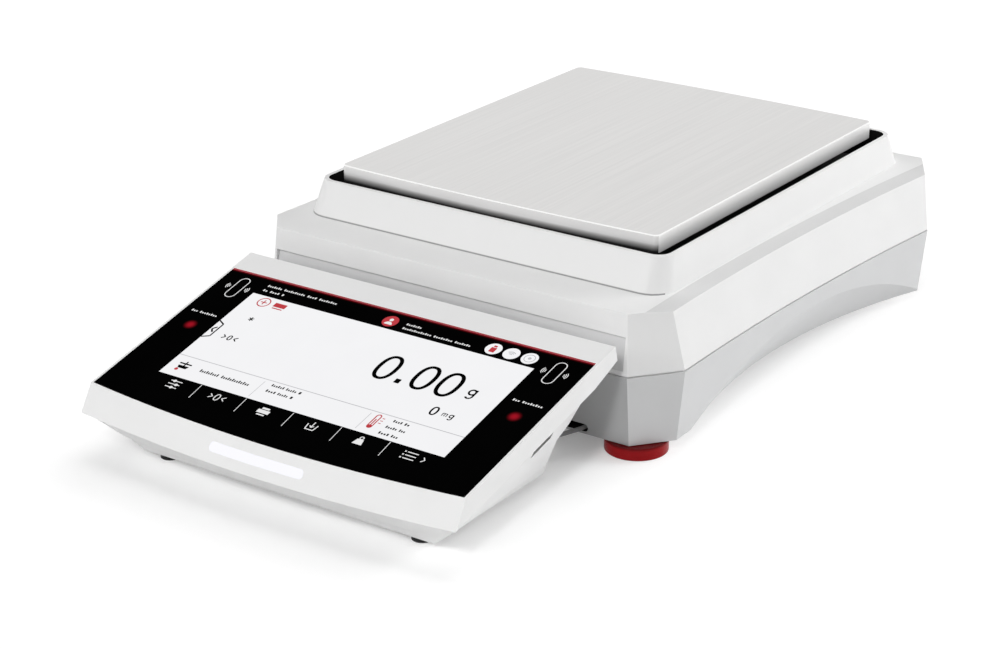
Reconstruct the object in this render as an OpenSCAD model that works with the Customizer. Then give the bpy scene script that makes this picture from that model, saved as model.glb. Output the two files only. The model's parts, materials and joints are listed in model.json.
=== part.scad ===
// Precision balance: a base unit with a large steel pan, and a separate touch-screen terminal
// that stands in front of it on a short cable. Sizes are in millimetres, and +Z is up.
// The shapes are drawn about the pan's centre, and placed() moves them to the middle of the footprint.

/* [Pan] */
// Width of the weighing pan
pan_w = 190; // [180:1:200]
// Depth of the pan at its middle
pan_d = 229; // [220:1:240]
// How far the pan's front and back edges bow out
pan_bow = 2.5; // [1:0.5:4]
// Thickness of the pan's sheet
pan_sheet = 1.2; // [0.8:0.1:2]
// Height of the folded skirt of the pan
pan_skirt = 9.5; // [8:0.5:11]
// Corner radius of the pan
pan_corner = 3; // [2:0.5:8]
// Height of the pan's top above the bench
pan_top = 98; // [96:1:104]

/* [Pan surround] */
// Gap between the pan's side and the surround
pan_side_gap = 7; // [5:0.5:10]
// Gap between the pan's front edge and the surround
pan_end_gap = 3.7; // [3:0.1:8]
// Width of the surround's rim
rim_w = 2.3; // [1.5:0.1:4]
// How far the surround's sides spread from its rim to its foot
surround_draft = 3.2; // [1:0.1:5]
// How far the surround's ends spread from its rim to its foot
surround_end_draft = 8; // [3:0.1:10]
// Height of the surround's rim above the bench
rim_z = 91; // [90:0.5:92]
// Inner corner radius of the surround
surround_corner = 7; // [4:0.5:12]

/* [Base] */
// Height of the base's underside above the bench
base_z = 7; // [6.5:0.5:8]
// Height of the seam between tray and cover
seam_z = 43; // [40:0.5:46]
// Height of the cover's outer shoulder
shoulder_z = 73; // [70:0.5:73]
// Height of the cover's deck
deck_z = 74; // [73:0.5:76]
// Wall thickness of the base housings
base_wall = 3; // [2:0.5:4]
// Depth of the deck in front of the surround
front_deck = 27.5; // [24:0.1:36]
// Depth of the deck behind the surround
rear_deck = 11.5; // [10:0.1:20]
// Width of the shoulder beside the surround at the waist
side_deck = 16; // [14:0.5:22]
// Radius of the hollow curve of the sides, seen from above
side_radius = 1760; // [1400:10:2400]
// Distance of the waist in front of the pan's centre
waist_y = 73; // [50:1:90]
// How far the sides lean in from the seam up to the shoulder
side_lean_up = 6; // [3:0.5:8]
// How far the sides lean in from the seam down to the underside
side_lean_down = 3.7; // [2:0.1:6]
// How far the front leans in from the seam up to the deck
front_lean_up = 2.5; // [1:0.5:4]
// How far the ends lean in from the seam down to the underside
end_lean_down = 4; // [2:0.5:6]
// How far the back leans in from the seam up to the deck
rear_lean_up = 3; // [1:0.5:5]
// Direction of the front corner faces from the X axis, in degrees
front_corner_angle = 38.7; // [34:0.1:44]
// Direction of the rear corner faces from the X axis, in degrees
rear_corner_angle = 29; // [24:1:36]
// Depth of the docking recess under its upper edge
dock_depth = 2; // [1:0.5:4]
// Height of the docking recess's upper edge
dock_top = 62.6; // [60:0.2:66]
// Radius of the arches in the sides
arch_radius = 431; // [400:1:500]
// Height of the arches' crown on the side faces
arch_crown_z = 33.5; // [30:0.5:36]
// Distance that the arches' crown runs inwards at the underside
arch_inset = 18; // [14:0.5:22]
// Distance of the arches' crown in front of the pan's centre
arch_y = 17; // [8:1:26]

/* [Feet] */
// Radius of the levelling wheels
wheel_r = 15.5; // [13:0.5:16]
// Radius of the threaded studs
stud_r = 3; // [2.5:0.5:4]
// Height of the rubber pads
pad_h = 1.2; // [0.8:0.1:1.6]
// Travel of the levelling feet
foot_travel = 6; // [4:0.5:8]

/* [Terminal] */
// Gap between the base's front and the terminal
term_gap = 13.7; // [12:0.1:20]
// Height of the terminal's rear edge
term_rear_z = 64.4; // [62:0.2:68]
// Tilt of the screen, in degrees
tilt = 14.1; // [12:0.1:16]
// Half width of the terminal's upper housing
term_hw = 108.5; // [105:0.5:114]
// Thickness of the upper housing
slab_t = 10.5; // [10:0.5:12]
// Reach of the chin in front of the rear edge, along the screen
chin_reach = 137.5; // [132:0.5:144]
// Bow of the chin between the corners
chin_bow = 6; // [3:0.5:9]
// Width of the white band behind the glass
band_w = 16; // [13:0.5:20]
// Thickness of the cover glass
glass_t = 2; // [1.5:0.1:2.5]
// Width of the frame beside the glass
glass_margin = 1.3; // [1:0.1:3]
// Half width of the terminal's underside
term_foot_hw = 85; // [80:0.5:90]
// Height of the terminal's rubber feet
term_foot_h = 3; // [2:0.5:4]
// Wall thickness of the terminal's housings
term_wall = 2.5; // [2:0.1:3]
// Half width of the glowing bar in the chin
bar_hw = 27; // [20:1:34]

/* [Cable] */
// Diameter of the cable between base and terminal
cable_d = 2.2; // [2:0.1:2.6]

/* [Fits] */
// Clearance between pieces that are pushed or set in
set_gap = 0.3; // [0.2:0.05:0.5]
// Radial clearance of turning and sliding fits
run_gap = 0.05; // [0.03:0.01:0.08]

/* [Hidden] */

$fn = 48;
big = 400;
tiny = 0.01;

// The surround follows the pan, and the base follows the surround
in_hw = pan_w / 2 + pan_side_gap;
in_hd = pan_d / 2 + pan_end_gap;
foot_hw = in_hw + rim_w + surround_draft;
foot_hd = in_hd + rim_w + surround_end_draft;
base_front = foot_hd + front_deck;
base_rear = foot_hd + rear_deck;
waist_hw = foot_hw + side_deck;
front_corner_x = foot_hw - 1;
rear_corner = [waist_hw + 9.5, base_rear - 30];
front_corner_d = front_corner_x * cos(front_corner_angle) + base_front * sin(front_corner_angle);
rear_corner_d = rear_corner[0] * cos(rear_corner_angle) + rear_corner[1] * sin(rear_corner_angle);
corner_lean = 3;
floor_z = base_z + base_wall;
arch_tilt = atan2(arch_crown_z - base_z, arch_inset);

// Screen plane of the terminal: its rear edge, and the middle of the whole footprint
term_rear = base_front + term_gap;
front_reach = term_rear + chin_reach * cos(tilt) - slab_t * sin(tilt);
centre_y = (front_reach - base_rear) / 2;

// Docking recess in the front of the cover, which runs out towards the seam
dock_start = seam_z + 3;
dock_hw = front_corner_x - 2.2;
cavity_front = dock_depth + base_wall;
deck_t = 4;
cover_hole_r = 20;
plate_t = 1.2;
plate_hole_r = 18;

// Places of the four feet, front pair then rear pair
front_foot = [waist_hw - 21, -(base_front - 16.5)];
rear_foot = [waist_hw - 28.5, base_rear - 28];
feet = [[-front_foot[0], front_foot[1]], front_foot, [-rear_foot[0], rear_foot[1]], rear_foot];
wheel_gap = 0.4;
wheel_z = 0.5;
wheel_rim = 3;
pad_gap = 0.6;
insert_r = 5;
insert_h = 12;

// Screw posts that hold the cover to the tray
front_post = [waist_hw - 23.5, -(base_front - 56)];
rear_post = [waist_hw - 19.5, base_rear - 60];
posts = [[-front_post[0], front_post[1]], front_post, [-rear_post[0], rear_post[1]], rear_post];
post_r = 6;
post_split = 30;
screw_r = 1.6;
head_r = 3;
head_h = 2.4;
head_hole_r = 4.3;
seat_t = 4;

// Connection panel at the back, and the circuit boards
panel_y = base_rear - 9.6;
panel_t = 2;
panel_hw = 60;
panel_top = 41;
panel_open_hw = 56;
panel_open_z = [13, 38];
board_t = 1.6;
board_z = 16;
io_z = 14;
io_y = [panel_y - 15.4, panel_y - panel_t - set_gap];
board_x = [-88, -50];
board_y = [-80, io_y[0] - 15];
hole_edge = 4;
board_holes = [for (x = [board_x[0] + hole_edge, board_x[1] - hole_edge],
  y = [board_y[0] + hole_edge, board_y[1] - hole_edge]) [x, y]];

// Calibration weights beside the load carrier, and their lift in front of it
weight_r = 8;
weight_x = 26;
weight_y = [-60, -22];
lift_y = weight_y[0] - 12;

// Weigh cell: plate, beam pivot and magnet, along the line behind the pan's centre
cell_floor = floor_z + 3;
cell_z = cell_floor + 6;
cell_hw = 45;
cell_front = lift_y - 18;
cell_rear = panel_y - 18.4;
cell_edge = 8;
cell_posts = [for (x = [-38, 38], y = [cell_front + cell_edge, cell_rear - cell_edge]) [x, y]];
carrier_hw = 20;
carrier_hd = 11;
carrier_z = [26, 62];
carrier_boss_r = 12;
boss_h = 2;
hook_hole_r = 10;
magnet_y = cell_rear - 26;
magnet_r = 20;
magnet_z = 40;
guide_t = 1;
guide_y = [magnet_y - magnet_r - 14, magnet_y - magnet_r];
cheek_x = [24, 32];
cheek_y = [20, guide_y[1] + 4];
bridge_z = [28, 38];
load_travel = 0.3;
low_guide_z = carrier_z[0] - load_travel - 0.2 - guide_t;
pivot_y = 28;
beam_hw = 6;
beam_z = [44, 52];
beam_end = cell_rear - 8;
coil_r = [12.5, 14.5];
stop_at = [15, -8];

// Heights of the calibration lift
lift_z = [46.2, 50.2];
lift_travel = 3.2;
lift_screw_r = 3;
motor_z = [38, 40];
arm_z = [32, 39];

// Swivelling cover of the opening for weighing below
hook_open_r = 12;
hook_pivot = [22, 0];
hook_pin_r = 2;

// Cast cross under the pan, and the rubber pads on its ends
pad_at = [pan_w / 2 - 20, pan_d / 2 - 25];
pad_list = [for (x = [-1, 1], y = [-1, 1]) [x * pad_at[0], y * pad_at[1]]];
pad_r = 6;
support_top = pan_top - pan_sheet - 4;
arm_hw = 9;
arm_t = 6;
hub_r = 22;
support_post_r = 9;

// Level bubble on the rear left shoulder
vial_at = [-(waist_hw - 7), base_rear - 36];
vial_r = 5.5;
vial_z = 66;

// Terminal: its underside and the stepped back of its wedge, behind and in front of the screen's rear edge
term_bottom = [-(term_rear + chin_reach - 28.7), -(term_rear + 23.3)];
wedge_back = [for (p = [[-27, 60], [-28, 34.5], [-33.5, 28], [-23.3, 3]]) [p[0] - term_rear, p[1]]];
slab_radius = (term_hw * term_hw + chin_bow * chin_bow) / (2 * chin_bow);
foot_rows = [term_bottom[0] + 6.5, term_bottom[1] - 9];
screw_rows = [term_bottom[0] + 9, term_bottom[1] - 19];
term_foot_at = [for (x = [11 - term_foot_hw, term_foot_hw - 11], y = foot_rows) [x, y]];
term_screw_at = [for (x = [25 - term_foot_hw, term_foot_hw - 25], y = screw_rows) [x, y]];
term_foot_r = 5;
term_post_r = 4.2;
term_post_z = term_foot_h + 6;
term_seat_z = term_foot_h + 3;
step_z = 9.5;
step_side = [8, 3];
step_front = 4.5;
step_back = 1.2;
step_bow = 3.5;
lip_w = 1.2;
rear_edge_t = slab_t - 2.9;
rear_taper = 20;
window_hw = term_hw - 20.5;
window_u = [band_w + 6, chin_reach - 25.5];
window_floor = 2;
lcd_t = 6;
bar_w = [3.6, 6.8];
bar_back = chin_reach - 11.5;
bar_gap = 0.1;
trim_w = 1.2;
sensor_at = [term_hw - 13.5, -62];
sensor_r = 3.7;
tboard_w = [slab_t + 5, slab_t + 5 + board_t];
usb_x = [term_hw - 28.5, term_hw - 4];
usb_u = [54, 69.8];
usb_w = [slab_t + set_gap, tboard_w[0]];

// Cable: its holes in the two housings, and the points of its route
cable_r = cable_d / 2;
cable_x = 81;
cable_z = base_z + 3.3;
pocket_x = 74.2;
pocket_hw = 9;
pocket_r = 2;
pocket_d = 14;
pocket_wall = 2.5;
pocket_back = -(base_front - end_lean_down - pocket_d);
gland_r = 1.7;
flange_t = 2;
flange_w = 0.15;
exit_x = 70;
exit_y = term_bottom[1] + 1.5;

// Each step of the route: [x, part of the way from the base to the terminal]
route_steps = [
  [81, 0], [81, 0.1], [80.8, 0.2], [80, 0.29], [78.2, 0.39], [75.7, 0.52],
  [73.1, 0.65], [71, 0.78], [70.1, 0.89], [70, 0.95], [70, 1]
];
route_start = pocket_back - flange_t;
route = [for (p = route_steps) [p[0], route_start + (exit_y - route_start) * p[1], cable_z]];

// A rounded rectangle by its half sizes
function arc(c, r, a0, a1, n = 6) =
  [for (i = [0:n]) c + r * [cos(a0 + (a1 - a0) * i / n), sin(a0 + (a1 - a0) * i / n)]];
function round_rect(hx, hy, r) = concat(
  arc([hx - r, hy - r], r, 0, 90), arc([r - hx, hy - r], r, 90, 180),
  arc([r - hx, r - hy], r, 180, 270), arc([hx - r, r - hy], r, 270, 360));

// The pan's outline: straight sides, bowed ends and round corners, drawn in by an inset
function bowed(p, hx, bow) = [p[0], p[1] + (p[1] > 0 ? 1 : -1) * bow * (1 - pow(p[0] / hx, 2))];
function end_points(hx, hy, r, n = 10) = [for (i = [1:n - 1]) [(hx - r) * (1 - 2 * i / n), hy]];
function pan_outline(inset) = let(
    hx = pan_w / 2 - inset, hy = pan_d / 2 - pan_bow - inset, r = max(pan_corner - inset, 0.5))
  [for (p = concat(
      arc([hx - r, hy - r], r, 0, 90), end_points(hx, hy, r), arc([r - hx, hy - r], r, 90, 180),
      arc([r - hx, r - hy], r, 180, 270), -end_points(hx, hy, r), arc([hx - r, r - hy], r, 270, 360)))
    bowed(p, hx, pan_bow)];

// Moves a shape drawn about the pan's centre to the middle of the footprint
module placed() {
  translate([0, centre_y, 0]) children();
}

// Stands a shape in the terminal's screen frame: X across, -Y down the screen, Z out of the glass
module on_screen() {
  translate([0, -term_rear, term_rear_z]) rotate([tilt, 0, 0]) children();
}

module box(x, y, z) {
  translate([x[0], y[0], z[0]]) cube([x[1] - x[0], y[1] - y[0], z[1] - z[0]]);
}

module rod(at, r, z) {
  translate([at[0], at[1], z[0]]) cylinder(r = r, h = z[1] - z[0]);
}

module mirrored() {
  children();
  mirror([1, 0, 0]) children();
}

// How far a leaning face is drawn in at a height, above the seam or below it
function drawn_in(lean, z, up) =
  up ? lean * (z - seam_z) / (deck_z - seam_z) : lean * (seam_z - z) / (seam_z - base_z);

// Heights that the cutters of the cover or the tray reach over
function cut_range(up) = up ? [seam_z - 5, deck_z + 5] : [base_z - 5, seam_z + 5];

// Cutter for a corner face of the base, at a distance from the pan's centre
module corner_cut(angle, distance, inset, up) {
  z = cut_range(up);
  rotate([0, 0, angle]) rotate([90, 0, 0]) linear_extrude(height = big, center = true) polygon([
    [distance - inset - drawn_in(corner_lean, z[0], up), z[0]],
    [distance - inset - drawn_in(corner_lean, z[1], up), z[1]],
    [distance + 100, z[1]], [distance + 100, z[0]]]);
}

// Cutter for a hollow side of the base, as a wide disc with a leaning rim
module side_cut(inset, up) {
  r = side_radius + inset;
  z = cut_range(up);
  lean_up = side_lean_up * (deck_z - seam_z) / (shoulder_z - seam_z);
  shoulder_slope = (side_deck - 1 - side_lean_up) / (deck_z - shoulder_z);
  rim = up
    ? [[r + drawn_in(lean_up, z[0], true), z[0]], [r + side_lean_up, shoulder_z],
      [r + side_lean_up + shoulder_slope * (z[1] - shoulder_z), z[1]]]
    : [[r + drawn_in(side_lean_down, z[0], false), z[0]], [r + drawn_in(side_lean_down, z[1], false), z[1]]];
  translate([waist_hw + side_radius, -waist_y, 0]) rotate([0, 0, 168]) rotate_extrude(angle = 24, $fn = 1440)
    polygon(concat([[side_radius - 150, z[0]]], rim, [[side_radius - 150, z[1]]]));
}

// Cutter for an arch in a side, grown by a wall
module arch_cut(wall) {
  reach = arch_radius;
  translate([waist_hw + reach * sin(arch_tilt), -arch_y, arch_crown_z - reach * cos(arch_tilt)])
    rotate([0, 90 - arch_tilt, 0]) cylinder(r = arch_radius + wall, h = 3 * big, center = true, $fn = 360);
}

// Outer form of the cover (up) or the tray, drawn in by an inset and cut off between two heights
module base_form(inset, front_inset, z, up) {
  ends = cut_range(up);
  front_lean = up ? front_lean_up : end_lean_down;
  rear_lean = up ? rear_lean_up : end_lean_down;
  difference() {
    intersection() {
      rotate([90, 0, 90]) linear_extrude(height = big, center = true) polygon([
        [-(base_front - front_inset - drawn_in(front_lean, ends[0], up)), ends[0]],
        [-(base_front - front_inset - drawn_in(front_lean, ends[1], up)), ends[1]],
        [base_rear - inset - drawn_in(rear_lean, ends[1], up), ends[1]],
        [base_rear - inset - drawn_in(rear_lean, ends[0], up), ends[0]]]);
      box([-big, big], [-big, big], z);
    }
    mirrored() side_cut(inset, up);
    mirrored() corner_cut(-front_corner_angle, front_corner_d, inset, up);
    mirrored() corner_cut(rear_corner_angle, rear_corner_d, inset, up);
  }
}

// Docking recess in the front of the base
module dock_cut() {
  top_y = base_front - drawn_in(front_lean_up, dock_top, true) - dock_depth;
  start_y = base_front - drawn_in(front_lean_up, dock_start, true);
  rotate([90, 0, 90]) linear_extrude(height = 2 * dock_hw, center = true)
    polygon([[-big, dock_start], [-start_y, dock_start], [-top_y, dock_top], [-big, dock_top]]);
}

module base_tray() placed() color("gainsboro") {
  difference() {
    union() {
      difference() {
        base_form(0, 0, [base_z, seam_z], false);
        difference() {
          base_form(base_wall, cavity_front, [floor_z, seam_z + 1], false);
          mirrored() arch_cut(base_wall);
        }
        mirrored() arch_cut(0);
      }
      for (p = posts) rod(p, post_r, [base_z, post_split]);
      for (p = feet) rod(p, insert_r + base_wall, [base_z, floor_z + insert_h]);
      for (p = cell_posts) rod(p, post_r, [base_z, cell_floor]);
      for (p = board_holes) rod(p, 3.5, [base_z, board_z]);
      box([pocket_x - pocket_hw - pocket_wall, pocket_x + pocket_hw + pocket_wall],
        [-(base_front - end_lean_down - 1), pocket_back + pocket_wall],
        [base_z, cable_z + pocket_r + pocket_wall]);
    }
    for (p = posts) {
      rod(p, head_hole_r, [base_z - 1, post_split - seat_t]);
      rod(p, screw_r + set_gap, [base_z, post_split + 1]);
    }
    for (p = feet) {
      rod(p, insert_r, [floor_z, floor_z + insert_h + 1]);
      rod(p, stud_r + 0.6, [base_z - 1, floor_z + 1]);
    }
    for (p = cell_posts) rod(p, screw_r + run_gap, [base_z + 1, cell_floor + 1]);
    for (p = board_holes) rod(p, screw_r + run_gap, [base_z + 1, board_z + 1]);
    rod([0, 0], hook_open_r, [base_z - 1, floor_z + 1]);
    rod(hook_pivot, hook_pin_r + run_gap, [base_z - 1, floor_z + 1]);
    cable_pocket();
    translate([cable_x, pocket_back + pocket_wall + 1, cable_z]) rotate([90, 0, 0])
      cylinder(r = gland_r, h = pocket_wall + 2);
    box([-panel_open_hw, panel_open_hw], [panel_y, big], panel_open_z);
  }
}

// Flat slot over the lower front edge that the cable comes out of
module cable_pocket() {
  edge_x = pocket_hw - pocket_r;
  box([pocket_x - edge_x, pocket_x + edge_x], [-base_front, pocket_back],
    [cable_z - pocket_r, cable_z + pocket_r]);
  for (side = [-1, 1]) translate([pocket_x + side * edge_x, pocket_back, cable_z]) rotate([90, 0, 0])
    cylinder(r = pocket_r, h = base_front);
}

module top_cover() placed() color("white") {
  groove_d = 1;
  groove_h = 0.8;
  difference() {
    union() {
      difference() {
        base_form(0, 0, [seam_z, deck_z], true);
        base_form(base_wall, cavity_front, [seam_z - 1, deck_z - deck_t], true);
        difference() {
          base_form(-1, -1, [seam_z - 1, seam_z + groove_h], true);
          base_form(groove_d, groove_d, [seam_z - 2, seam_z + 2], true);
        }
        dock_cut();
      }
      for (p = posts) rod(p, post_r, [post_split, deck_z - deck_t + 1]);
      intersection() {
        rod(vial_at, vial_r + 2.5, [vial_z - 2, deck_z]);
        base_form(1, 1, [vial_z - 6, deck_z], true);
      }
    }
    for (p = posts) rod(p, screw_r + run_gap, [post_split - 1, post_split + 16]);
    rod([0, 0], cover_hole_r, [deck_z - 10, deck_z + 1]);
    rod(vial_at, vial_r + run_gap, [vial_z, deck_z + 1]);
  }
}

module pan_surround() placed() color("whitesmoke") {
  difference() {
    hull() {
      translate([0, 0, deck_z]) linear_extrude(height = tiny)
        polygon(round_rect(foot_hw, foot_hd, surround_corner + rim_w + surround_draft));
      translate([0, 0, rim_z - tiny]) linear_extrude(height = tiny)
        polygon(round_rect(in_hw + rim_w, in_hd + rim_w, surround_corner + rim_w));
    }
    translate([0, 0, deck_z - 1]) linear_extrude(height = rim_z - deck_z + 2)
      polygon(round_rect(in_hw, in_hd, surround_corner));
  }
}

module chamber_plate() placed() color("dimgray") {
  difference() {
    translate([0, 0, deck_z]) linear_extrude(height = plate_t)
      polygon(round_rect(in_hw - set_gap, in_hd - set_gap, surround_corner));
    rod([0, 0], plate_hole_r, [deck_z - 1, deck_z + plate_t + 1]);
  }
}

module weighing_pan() placed() color("silver") {
  difference() {
    translate([0, 0, pan_top - pan_skirt]) linear_extrude(height = pan_skirt) polygon(pan_outline(0));
    translate([0, 0, pan_top - pan_skirt - 1]) linear_extrude(height = pan_skirt + 1 - pan_sheet)
      polygon(pan_outline(pan_sheet));
  }
}

// Cast cross under the pan: two crossing ribs on a hub and a post to the load carrier
module pan_support() placed() color("lightgray") {
  arm_angle = atan2(pad_at[1], pad_at[0]);
  arm_len = norm(pad_at) + 8;
  for (a = [arm_angle, -arm_angle]) rotate([0, 0, a])
    box([-arm_len, arm_len], [-arm_hw, arm_hw], [support_top - arm_t, support_top]);
  rod([0, 0], hub_r, [support_top - arm_t - 2, support_top]);
  rod([0, 0], support_post_r, [carrier_z[1] + boss_h, support_top - arm_t]);
}

module support_pads() placed() color("dimgray") {
  for (p = pad_list) rod(p, pad_r, [support_top, pan_top - pan_sheet]);
}

module load_carrier() placed() color("silver") {
  arm_x = [weight_x - 10, weight_x + 8];
  post_top = lift_z[1] - lift_travel - set_gap;
  difference() {
    union() {
      box([-carrier_hw, carrier_hw], [-carrier_hd, carrier_hd], carrier_z);
      rod([0, 0], carrier_boss_r, [carrier_z[1] - 1, carrier_z[1] + boss_h]);
      box([-arm_x[1], arm_x[1]], [-carrier_hd - 8, -carrier_hd + 1], arm_z);
      mirrored() box(arm_x, [-48, -carrier_hd - 7], arm_z);
      mirrored() box([weight_x - 6, weight_x + 6], [-47, -35], [arm_z[1] - 1, post_top]);
    }
    box([-8, 8], [-carrier_hd - 1, carrier_hd + 1], [carrier_z[0] + 8, carrier_z[1] - 10]);
  }
}

module cell_base() placed() color("lightgray") {
  difference() {
    box([-cell_hw, cell_hw], [cell_front, cell_rear], [cell_floor, cell_z]);
    for (p = cell_posts) rod(p, screw_r + set_gap, [cell_floor - 1, cell_z + 1]);
    rod([0, 0], hook_hole_r, [cell_floor - 1, cell_z + 1]);
  }
}

module cell_frame() placed() color("silver") {
  mirrored() box(cheek_x, cheek_y, [cell_z, carrier_z[1]]);
  box([-cheek_x[0] - 1, cheek_x[0] + 1], [cheek_y[0], cheek_y[0] + 16], bridge_z);
  box([-cheek_x[0] - 1, cheek_x[0] + 1], guide_y, [carrier_z[1] - 4, carrier_z[1]]);
}

module guide_plate(z, rear_hw) {
  difference() {
    union() {
      box([-carrier_hw, carrier_hw], [-4, 14], [z, z + guide_t]);
      mirrored() box([14, 19], [12, guide_y[0] + 2], [z, z + guide_t]);
      box([-rear_hw, rear_hw], guide_y, [z, z + guide_t]);
    }
    box([-12, 12], [-1, 9], [z - 1, z + guide_t + 1]);
  }
}

module guide_plates() placed() color("lightsteelblue") {
  foot_x = [cheek_x[0] - 4, cheek_x[0] - 1];
  difference() {
    guide_plate(carrier_z[1], cheek_x[1] - 2);
    rod([0, 0], carrier_boss_r + set_gap, [carrier_z[1] - 1, carrier_z[1] + guide_t + 1]);
  }
  guide_plate(low_guide_z, foot_x[1]);
  mirrored() box(foot_x, [guide_y[0] + 4, guide_y[1] - 2], [cell_z, low_guide_z + guide_t]);
}

module beam_pivot() placed() color("slategray") {
  box([-9, 9], [pivot_y - 5, pivot_y + 5], [bridge_z[1], bridge_z[1] + 3]);
  box([-beam_hw, beam_hw], [pivot_y - 1, pivot_y + 1], [bridge_z[1] + 2, beam_z[0] - set_gap]);
}

module balance_beam() placed() color("gainsboro") {
  box([-beam_hw, beam_hw], [carrier_hd + 2, beam_end], beam_z);
  rod([0, magnet_y], coil_r[1] - 0.5, [beam_z[0], beam_z[0] + 4]);
}

module force_coil() placed() color("peru") {
  difference() {
    rod([0, magnet_y], coil_r[1], [28, beam_z[0]]);
    rod([0, magnet_y], coil_r[0], [27, beam_z[0] + 1]);
  }
}

module magnet_cup() placed() color("dimgray") {
  difference() {
    rod([0, magnet_y], magnet_r, [cell_z, magnet_z]);
    rod([0, magnet_y], magnet_r - 3, [cell_z + 4, magnet_z + 1]);
  }
}

module magnet_core() placed() color("slategray") {
  rod([0, magnet_y], 9.5, [cell_z + 4, magnet_z]);
  rod([0, magnet_y], 10.2, [magnet_z - 4, magnet_z]);
}

module position_sensor() placed() color("darkslategray") {
  body_top = beam_z[0] - 1;
  box([-8, 8], [cell_rear - 5, cell_rear - 0.5], [cell_z, body_top]);
  mirrored() box([beam_hw + 1, beam_hw + 3.5], [cell_rear - 12, cell_rear - 0.5],
    [body_top - 1, beam_z[1] + 4]);
}

module overload_stop() placed() color("gray") {
  mirrored() rod(stop_at, 3, [cell_z, carrier_z[0] - load_travel - 0.1]);
  mirrored() rod(stop_at, 5, [cell_z, cell_z + 3]);
}

module cal_motor() placed() color("darkgray") {
  rod([0, lift_y], 11, [cell_z, motor_z[0]]);
  rod([0, lift_y], 7, motor_z);
}

module cal_screw() placed() color("goldenrod") {
  rod([0, lift_y], lift_screw_r, [motor_z[1], 62]);
}

module cal_lifter() placed() color("steelblue") {
  difference() {
    union() {
      box([-8, 8], [lift_y - 8, weight_y[1] + 4], lift_z);
      for (y = [[weight_y[0] - 2, weight_y[0] + 7], [weight_y[1] - 7, weight_y[1] + 4]])
        box([-weight_x - 6, weight_x + 6], y, lift_z);
    }
    rod([0, lift_y], lift_screw_r + run_gap, [lift_z[0] - 1, lift_z[1] + 1]);
  }
}

module cal_weights() placed() color("gold") {
  mirrored() translate([weight_x, weight_y[1], lift_z[1] + weight_r]) rotate([90, 0, 0])
    cylinder(r = weight_r, h = weight_y[1] - weight_y[0]);
}

// Board with holes and a few soldered blocks: each block is [x, y, width, depth, height]
module board(x, y, z, holes, blocks) {
  difference() {
    box(x, y, [z, z + board_t]);
    for (p = holes) rod(p, screw_r + set_gap, [z - 1, z + board_t + 1]);
  }
  for (b = blocks) translate([b[0], b[1], z + board_t]) cube([b[2], b[3], b[4]]);
}

module main_board() placed() color("seagreen") {
  board(board_x, board_y, board_z, board_holes,
    [[-76, -60, 18, 18, 2], [-78, -20, 14, 20, 3], [-70, 20, 12, 30, 6],
     [-82, 60, 10, 10, 12], [-66, 64, 9, 9, 12]]);
}

module io_board() placed() color("seagreen") {
  board([-panel_open_hw, panel_open_hw], io_y, io_z, [],
    [[-5, io_y[0] + 1, 14, 4, 3], [25, io_y[0] + 1, 8, 4, 2]]);
  for (x = [-50, 45]) box([x, x + 5], [io_y[0] + 3, io_y[0] + 11], [floor_z, io_z]);
}

// Places of the sockets in the back panel: [x, width, height]
power_at = [-44, 10, 11];
serial_at = [-16, 20, 10];
usb_at = [18, 12, 11];
lan_at = [42, 16, 13.5];
socket_z = io_z + board_t;

module socket_hole(s) {
  box([s[0] - s[1] / 2 - set_gap, s[0] + s[1] / 2 + set_gap], [panel_y - panel_t - 1, panel_y + 1],
    [socket_z - set_gap, socket_z + s[2] + set_gap]);
}

module rear_panel() placed() color("darkgray") {
  difference() {
    box([-panel_hw, panel_hw], [panel_y - panel_t, panel_y], [floor_z, panel_top]);
    for (s = [power_at, serial_at, usb_at, lan_at]) socket_hole(s);
  }
}

// Square socket on the board, open to the back
module socket(s, depth, mouth_w, mouth_h) {
  difference() {
    box([s[0] - s[1] / 2, s[0] + s[1] / 2], [panel_y - depth, panel_y + 1.5], [socket_z, socket_z + s[2]]);
    box([s[0] - mouth_w / 2, s[0] + mouth_w / 2], [panel_y - depth + 3, panel_y + 3],
      [socket_z + (s[2] - mouth_h) / 2, socket_z + (s[2] + mouth_h) / 2]);
  }
}

module power_jack() placed() color("dimgray") {
  axis_z = socket_z + power_at[2] / 2;
  difference() {
    box([power_at[0] - power_at[1] / 2, power_at[0] + power_at[1] / 2], [panel_y - 12, panel_y + 1.5],
      [socket_z, socket_z + power_at[2]]);
    translate([power_at[0], panel_y + 3, axis_z]) rotate([90, 0, 0]) cylinder(r = 3.2, h = 12);
  }
  translate([power_at[0], panel_y + 1, axis_z]) rotate([90, 0, 0]) cylinder(r = 1, h = 10.5);
}

module serial_socket() placed() color("silver") {
  socket(serial_at, 10, 17, 8);
  for (i = [-2:2]) translate([serial_at[0] + i * 2.8, panel_y, socket_z + 6.4]) rotate([90, 0, 0])
    cylinder(r = 0.5, h = 7.5);
  for (i = [-1.5:1:1.5]) translate([serial_at[0] + i * 2.8, panel_y, socket_z + 3.6]) rotate([90, 0, 0])
    cylinder(r = 0.5, h = 7.5);
}

module usb_socket() placed() color("silver") {
  socket(usb_at, 13, 8.5, 7.8);
  box([usb_at[0] - 2.8, usb_at[0] + 2.8], [panel_y - 11, panel_y], [socket_z + 3.9, socket_z + 7.1]);
}

module lan_socket() placed() color("silver") {
  socket(lan_at, 14, 12, 8.5);
  for (i = [-3.5:1:3.5]) box([lan_at[0] + i - 0.25, lan_at[0] + i + 0.25], [panel_y - 11.5, panel_y - 4],
    [socket_z + 9.5, socket_z + 10.5]);
}

module level_vial() placed() color("yellowgreen") {
  rod(vial_at, vial_r, [vial_z, deck_z - 1]);
}

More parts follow.
